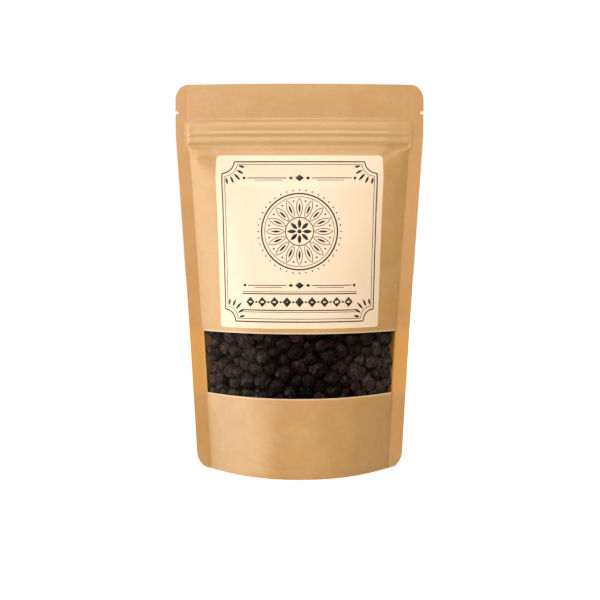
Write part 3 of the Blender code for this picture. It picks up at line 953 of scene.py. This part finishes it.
def build_print(ink):
    """A made-up geometric design: a frame, a rosette, rules with diamonds and dots."""
    art = Print()
    draw_frame(art)
    draw_rosette(art, (0.0, 5.0))
    for height, reach in ((32.5, 27.0), (-22.5, 27.0)):
        draw_rule(art, height, reach)
    draw_band(art, -31.0)
    for x in (-1, 1):
        for y in (-1, 1):
            draw_fan(art, x, y)
    piece = new_piece("label_print", art.mesh(), ink)
    return piece


def draw_frame(art):
    for inset, notch, width in ((3.4, 6.0, 0.62), (4.9, 6.0, 0.30)):
        x = LABEL_HALF_WIDTH - inset
        y = (LABEL_TOP - LABEL_BOTTOM) / 2 - inset
        path = []
        for corner_x, corner_y, start, end in ((x, y, 270, 180), (-x, y, 0, -90), (-x, -y, 90, 0), (x, -y, 180, 90)):
            path += arc_points((corner_x, corner_y), notch, start, end)
        dense = []
        for i, point in enumerate(path):
            after = path[(i + 1) % len(path)]
            dense += line_points(point, after)[:-1]
        art.stroke(dense, width, closed=True)


def draw_rosette(art, centre):
    for radius, width in ((19.5, 0.75), (17.9, 0.30), (7.2, 0.50)):
        art.stroke(arc_points(centre, radius, 0, 360)[:-1], width, closed=True)
    for i in range(16):
        art.stroke(petal(centre, i * 22.5, 7.6, 17.2, 3.1), 0.36, closed=True)
        art.blot(petal(centre, i * 22.5, 9.6, 14.6, 1.1))
        art.blot(arc_points(
            (centre[0] + 15.9 * math.cos(math.radians(i * 22.5 + 11.25)),
             centre[1] + 15.9 * math.sin(math.radians(i * 22.5 + 11.25))), 0.5, 0, 360, 0.4)[:-1])
    for i in range(8):
        art.blot(petal(centre, i * 45, 1.6, 6.3, 1.9))
    art.blot(arc_points(centre, 1.1, 0, 360, 0.5)[:-1])
    for i in range(40):
        turn = math.radians(i * 9)
        spot = (centre[0] + 21.3 * math.cos(turn), centre[1] + 21.3 * math.sin(turn))
        art.blot(arc_points(spot, 0.42, 0, 360, 0.4)[:-1])


def draw_rule(art, height, reach):
    art.blot(diamond((0.0, height), 2.3, 1.7))
    for side in (-1, 1):
        art.blot(diamond((side * 4.4, height), 1.2, 0.9))
        art.stroke(line_points((side * 6.6, height), (side * reach, height)), 0.42)
        art.stroke(line_points((side * 9.0, height - 1.1), (side * (reach - 4.0), height - 1.1)), 0.28)
        art.blot(arc_points((side * (reach + 1.6), height), 0.75, 0, 360, 0.4)[:-1])


def draw_band(art, height):
    """Big and small diamonds in a row between two lines."""
    count = 9
    pitch = 6.4
    for i in range(count):
        x = (i - (count - 1) / 2) * pitch
        art.blot(diamond((x, height), 2.3, 2.6))
        if i < count - 1:
            art.blot(arc_points((x + pitch / 2, height), 0.6, 0, 360, 0.4)[:-1])
    for offset, width in ((4.2, 0.55), (-4.2, 0.55), (5.2, 0.28), (-5.2, 0.28)):
        art.stroke(line_points((-30.0, height + offset), (30.0, height + offset)), width)


def draw_fan(art, x, y):
    """Rays that open from a notched corner of the frame."""
    corner = (x * (LABEL_HALF_WIDTH - 4.2), y * ((LABEL_TOP - LABEL_BOTTOM) / 2 - 4.2))
    for step in range(5):
        angle = math.degrees(math.atan2(-y, -x)) + (step - 2) * 17
        art.blot(petal(corner, angle, 7.6, 12.6 - abs(step - 2) * 0.8, 1.2))


# The fruit


def berry_form(seed, subdivisions):
    """(points, faces, ridge) of a shrivelled berry of radius 1, with its crown at +Z."""
    shape = bmesh.new()
    bmesh.ops.create_icosphere(shape, subdivisions=subdivisions, radius=1.0)
    shape.verts.ensure_lookup_table()
    base = [vertex.co.copy() for vertex in shape.verts]
    faces = np.array([[vertex.index for vertex in face.verts] for face in shape.faces])
    shape.free()
    shift = Vector((seed * 7.7, seed * 3.3, seed * 5.1))
    squash = 0.84 + 0.14 * ((seed * 37) % 10) / 10

    def crest(place):
        return max(0.0, 1 - 3.2 * abs(noise.noise(place))) ** 1.3

    points, ridges = [], []
    for place in base:
        warped = place + 0.34 * noise.noise_vector(place * 1.5 + shift)
        long = Vector((warped.x, warped.y, warped.z * 0.55))
        fold = crest(long * 2.7 + shift)
        wrinkle = crest(long * 6.0 - shift)
        lump = noise.noise(place * 1.3 - shift)
        tilt = math.acos(max(-1.0, min(1.0, place.z)))
        crown = 0.12 * math.exp(-((tilt / 0.12) ** 2)) - 0.14 * math.exp(-((tilt / 0.34) ** 2))
        stalk = -0.12 * math.exp(-(((math.pi - tilt) / 0.25) ** 2))
        out = 0.915 + 0.14 * lump + 0.150 * fold + 0.125 * wrinkle + crown + stalk
        points.append(Vector((place.x, place.y, place.z * squash)) * out)
        ridges.append(min(1.0, 0.65 * fold + 0.45 * wrinkle))
    return np.array(points), faces, np.array(ridges)


def wall_depths(x, z):
    """How far each wall stands from the middle plane, and its slope, at points (x, z)."""
    depths = np.zeros_like(x)
    slopes = np.zeros_like(x)
    for i, (across, height) in enumerate(zip(np.abs(x), z)):
        half_chord, depth, power, _, _ = section(round(float(np.clip(height, 3.0, 168.0)) * 2) / 2)
        share = min(1.0, across / half_chord)
        depths[i] = depth * (1 - share**power)
        slopes[i] = depth * power * share ** (power - 1) / half_chord
    return depths, slopes


def clear_of_walls(points, margin):
    """Presses points back inside the two walls, softly, with that margin."""
    pressed = points.copy()
    softness = 0.35
    for side in (-1, 1):
        _, up, surface, _ = sampled_wall(side, True)
        row = np.clip(np.round((points[:, 2] - up[0]) / 0.5).astype(int), 0, len(up) - 1)
        for number in np.unique(row):
            chosen = row == number
            line = surface[number]
            wall = np.interp(points[chosen, 0], line[:, 0], line[:, 1])
            room = np.maximum(wall * side - margin, 0.1)
            out = pressed[chosen, 1] * side
            out = room - softness * np.logaddexp(0.0, (room - out) / softness)
            pressed[chosen, 1] = side * out
    return pressed


def pack_berries(large, small, rng):
    """Centres and radii of berries that lie against the window from inside."""
    count = large + small
    radius = np.concatenate([rng.uniform(3.2, 5.0, large), rng.uniform(2.3, 3.1, small)])
    lowest = rng.uniform(29.0, 36.5, count)
    highest = rng.uniform(78.0, 85.5, count)
    standoff = 4.6 * rng.uniform(0.0, 1.0, count) ** 2
    centre = np.stack(
        [rng.uniform(-50.0, 50.0, count), rng.uniform(-22.0, -6.0, count), rng.uniform(32.0, 84.0, count)], axis=-1
    )
    centre[large:, 0] = np.sign(centre[large:, 0]) * rng.uniform(43.0, 48.0, small)
    for step in range(180):
        offset = centre[:, None, :] - centre[None, :, :]
        distance = np.linalg.norm(offset, axis=-1) + np.eye(count) * 99.0
        wanted = (radius[:, None] + radius[None, :]) * 0.92
        push = np.clip(wanted - distance, 0.0, None) / distance
        centre += 0.35 * (offset * push[..., None]).sum(axis=1)
        centre[:, 1] -= 0.25 if step < 120 else 0.06
        centre[:, 2] -= 0.03
        depth, slope = wall_depths(centre[:, 0], centre[:, 2])
        room = depth - (0.94 * radius + 0.4 + standoff) * np.sqrt(1 + slope**2)
        centre[:, 1] = np.clip(centre[:, 1], -np.maximum(room, 0.0), np.maximum(room, 0.0) * 0.2)
        centre[:, 0] -= np.sign(centre[:, 0]) * np.clip(-room, 0.0, 0.8)
        centre[:, 2] = np.clip(centre[:, 2], lowest, highest)
        limit = np.interp(centre[:, 2], [30.0, 85.0], [48.2, 51.2]) - 1.1 * radius + 0.3
        centre[:, 0] = np.clip(centre[:, 0], -limit, limit)
    return centre, radius


def build_fruit(skin):
    """Berries packed against the window, in several pieces, and the fill behind them."""
    rng = np.random.RandomState(SEED)
    centre, radius = pack_berries(236, 18, rng)
    fine = [berry_form(seed, 4) for seed in range(12)]
    plain = [berry_form(seed + 40, 3) for seed in range(5)]
    depth, _ = wall_depths(centre[:, 0], centre[:, 2])
    behind = depth + centre[:, 1]
    order = np.argsort(behind)
    front = [i for i in order if behind[i] < 9.5]
    rear = [i for i in order if behind[i] >= 9.5]
    pieces = []
    per_piece = 34
    for number in range(0, len(front), per_piece):
        chosen = front[number:number + per_piece]
        name = f"berries_front_{number // per_piece + 1}"
        pieces.append(berry_piece(name, chosen, centre, radius, fine, rng, skin))
    pieces.append(berry_piece("berries_rear", rear, centre, radius, plain, rng, skin))
    pieces.append(build_fill())
    for piece in pieces:
        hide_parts("dried_blackcurrants")


def turn_matrix(rng):
    """A random rotation."""
    quaternion = rng.normal(size=4)
    w, x, y, z = quaternion / np.linalg.norm(quaternion)
    return np.array(
        [
            [1 - 2 * (y * y + z * z), 2 * (x * y - z * w), 2 * (x * z + y * w)],
            [2 * (x * y + z * w), 1 - 2 * (x * x + z * z), 2 * (y * z - x * w)],
            [2 * (x * z - y * w), 2 * (y * z + x * w), 1 - 2 * (x * x + y * y)],
        ]
    )


def painted_haze_at(centre):
    """How much painted haze a berry gets, from 0 to 1: most near the window's left end, some near its right. The pale
    haze stands in for the film's reflection there.
    """
    x = float(centre[0])
    return 0.9 * float(smooth(4.0, 42.0, -x)) + 0.85 * float(smooth(12.0, 42.0, x))


def berry_piece(name, chosen, centre, radius, forms, rng, skin):
    points, faces, ridges, tints, dulls, painted_hazes = [], [], [], [], [], []
    start = 0
    for index in chosen:
        base, base_faces, ridge = forms[rng.randint(len(forms))]
        points.append(base @ turn_matrix(rng).T * radius[index] * 1.04 + centre[index])
        faces.append(base_faces + start)
        ridges.append(ridge)
        tints.append(np.full(len(base), rng.uniform()))
        dulls.append(np.full(len(base), rng.uniform()))
        # painted haze for each berry, set by its place in the window
        painted_hazes.append(np.full(len(base), painted_haze_at(centre[index]) * rng.uniform(0.15, 1.0)))
        start += len(base)
    mesh = mesh_from(
        name,
        clear_of_walls(np.concatenate(points), 0.45),
        np.concatenate(faces),
        {
            "ridge": np.concatenate(ridges),
            "tint": np.concatenate(tints),
            "dull": np.concatenate(dulls),
            "painted_haze": np.concatenate(painted_hazes),
        },
    )
    return new_piece(name, mesh, skin)


def build_fill():
    """The rest of the filling, unseen: the inside of the pouch, lumpy with fruit."""
    around, levels = 96, 90
    rows = []
    for z in np.linspace(8.0, 126.0, levels):
        half_chord, depth, power, _, _ = section(round(float(z), 4))
        angles = np.linspace(0, 2 * np.pi, around, endpoint=False)
        room = max(0.25, min(1.0, (z - 2.0) / 30.0)) ** 0.4
        x = np.cos(angles) * (half_chord - 7.5) * room
        wall = depth * (1 - np.abs(x / half_chord) ** power)
        near_window = float(smooth(28.0, 36.0, z) * (1 - smooth(80.0, 88.0, z)))
        inset = np.where(np.sin(angles) < 0, 3.5 + 7.5 * near_window, 3.5)
        y = np.sin(angles) * np.clip(wall - inset, 0.8, None)
        end = 1 - smooth(118.0, 126.0, z) * 0.25
        rows.append(np.stack([x * end, y * end, np.full(around, z)], axis=-1))
    grid = np.array(rows)
    lumps = []
    for place in grid.reshape(-1, 3):
        near = noise.voronoi(Vector(place) / 7.4)[0]
        lumps.append(near[0])
    centre = grid.mean(axis=1, keepdims=True)
    out = grid - centre
    out /= np.maximum(np.linalg.norm(out, axis=-1, keepdims=True), 1e-6)
    grid -= out * (np.array(lumps).reshape(levels, around, 1) * 3.0)
    faces = ring_faces(levels, around)
    points = np.concatenate([grid.reshape(-1, 3), centre[0], centre[-1]])
    low_centre, high_centre = len(points) - 2, len(points) - 1
    top = (levels - 1) * around
    for column in range(around):
        after = (column + 1) % around
        faces.append([low_centre, after, column])
        faces.append([high_centre, top + column, top + after])
    mesh = mesh_of_polygons("fruit_fill", points, faces)
    return new_piece("fruit_fill", mesh, dark_fill_material())


# The studio


def build_stage():
    """A plain white floor that fades into the white backdrop."""
    bpy.ops.mesh.primitive_circle_add(vertices=96, radius=3.0, fill_type="NGON")
    floor = bpy.context.object
    floor.name = "studio_floor"
    look = Nodes("studio_white")
    shade = look.noise(3.0, 1.0)
    distance = look.add("ShaderNodeVectorMath", operation="LENGTH")
    look.link(look.place, distance.inputs[0])
    seen = look.add("ShaderNodeLightPath").outputs["Is Camera Ray"]
    glow = look.spread(distance.outputs["Value"], 0.2, 0.9, 0.30, 1.0)
    look.set(
        Base_Color=look.mix(shade, (0.88, 0.88, 0.88), (0.90, 0.90, 0.90)),
        Roughness=0.8,
        Specular_IOR_Level=0.0,
        Emission_Color=(1.0, 1.0, 1.0),
        Emission_Strength=look.math("MULTIPLY", seen, glow),
    )
    floor.data.materials.append(look.material)
    floor.visible_glossy = False


def build_world():
    """White to the eye. Its light is even on matt surfaces, and dim in front for gloss."""
    world = bpy.data.worlds.new("studio")
    bpy.context.scene.world = world
    world.use_nodes = True
    tree = world.node_tree
    tree.nodes.clear()
    output = tree.nodes.new("ShaderNodeOutputWorld")
    path = tree.nodes.new("ShaderNodeLightPath")
    way = tree.nodes.new("ShaderNodeTexCoord")
    split = tree.nodes.new("ShaderNodeSeparateXYZ")
    tree.links.new(way.outputs["Generated"], split.inputs[0])

    def background(strength, colour=(1.0, 1.0, 1.0, 1.0)):
        node = tree.nodes.new("ShaderNodeBackground")
        node.inputs["Color"].default_value = colour
        if isinstance(strength, bpy.types.NodeSocket):
            tree.links.new(strength, node.inputs["Strength"])
        else:
            node.inputs["Strength"].default_value = strength
        return node.outputs["Background"]

    def ramp(axis, low, high, to_low, to_high):
        node = tree.nodes.new("ShaderNodeMapRange")
        node.interpolation_type = "SMOOTHSTEP"
        values = {"From Min": low, "From Max": high, "To Min": to_low, "To Max": to_high}
        for key, value in values.items():
            node.inputs[key].default_value = value
        tree.links.new(split.outputs[axis], node.inputs["Value"])
        return node.outputs["Result"]

    def choose(factor, first, second):
        node = tree.nodes.new("ShaderNodeMixShader")
        tree.links.new(factor, node.inputs["Fac"])
        tree.links.new(first, node.inputs[1])
        tree.links.new(second, node.inputs[2])
        return node.outputs["Shader"]

    matt = background(ramp("Z", -0.2, 0.8, 0.31, 0.69), (1.0, 0.99, 0.97, 1.0))
    gloss = background(ramp("Y", -0.5, 0.5, 0.04, 0.45))
    light = choose(path.outputs["Is Glossy Ray"], matt, gloss)
    tree.links.new(choose(path.outputs["Is Camera Ray"], light, background(1.0)), output.inputs["Surface"])


def add_softbox(name, place, aim, size, power, colour=(1.0, 1.0, 1.0), matt=True, gloss=True):
    light = bpy.data.lights.new(name, "AREA")
    light.shape = "RECTANGLE"
    light.size, light.size_y = size
    light.energy = power
    light.color = colour
    softbox = bpy.data.objects.new(name, light)
    softbox.location = place
    softbox.rotation_euler = (Vector(aim) - Vector(place)).to_track_quat("-Z", "Y").to_euler()
    softbox.visible_camera = False
    softbox.visible_diffuse = matt
    softbox.visible_glossy = gloss
    bpy.context.scene.collection.objects.link(softbox)


def build_lights():
    """A key from the upper left, two cards for sheen, a lamp above, and a rim lamp behind."""
    middle = (0.0, 0.0, 0.11)
    add_softbox("key", (-0.34, -0.82, 0.38), middle, (0.50, 0.40), 3.95, (1.0, 0.985, 0.94), gloss=False)
    add_softbox("shine", (-0.90, -0.12, 0.06), middle, (0.75, 1.00), 9.2, (0.90, 0.96, 0.94), matt=False)
    add_softbox("left_card", (-0.70, -0.50, 0.11), (0.0, 0.0, 0.08), (0.40, 0.60), 3.2, (0.90, 1.00, 1.00), matt=False)
    add_softbox("top_card", (-0.03, -0.70, 0.62), middle, (0.55, 0.30), 2.9, (0.96, 1.00, 1.00), matt=False)
    add_softbox("front_card", (0.17, -0.90, 0.28), middle, (0.75, 0.35), 1.25, matt=False)
    add_softbox("low_fill", (0.02, -0.32, 0.015), (0.0, 0.0, 0.03), (0.40, 0.04), 0.08, gloss=False)
    add_softbox("overhead", (0.0, -0.12, 0.95), middle, (0.70, 0.70), 2.6)
    add_softbox("rim", (0.45, 0.85, 0.40), middle, (0.40, 0.60), 2.2)


def build_camera():
    """The photograph's view: level with the middle of the pouch, looking a little down."""
    picture = 600
    focal_pixels = 1057.8
    drop_pixels = 60.0
    data = bpy.data.cameras.new("camera")
    data.sensor_width = 36.0
    data.lens = focal_pixels / picture * data.sensor_width
    camera = bpy.data.objects.new("camera", data)
    camera.location = (0.00026, -0.560, 0.1215)
    camera.rotation_euler = (math.pi / 2 - math.atan(drop_pixels / focal_pixels), 0.0, 0.0)
    bpy.context.scene.collection.objects.link(camera)
    bpy.context.scene.camera = camera


def main():
    random.seed(SEED)
    bpy.context.scene.view_settings.view_transform = "Standard"
    kraft = kraft_material()
    front = build_wall("front_paper", -1, True, kraft)
    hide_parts("front_panel")
    back = build_wall("back_paper", 1, False, kraft)
    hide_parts("back_panel")
    build_gusset(kraft)
    build_film(film_material())
    build_label(label_material())
    build_print(ink_material())
    build_fruit(fruit_material())
    plastic = zip_material()
    build_track("zip_groove", GROOVE_SECTION, plastic)
    build_track("zip_rib", RIB_SECTION, plastic)
    build_stage()
    build_world()
    build_lights()
    build_camera()


main()
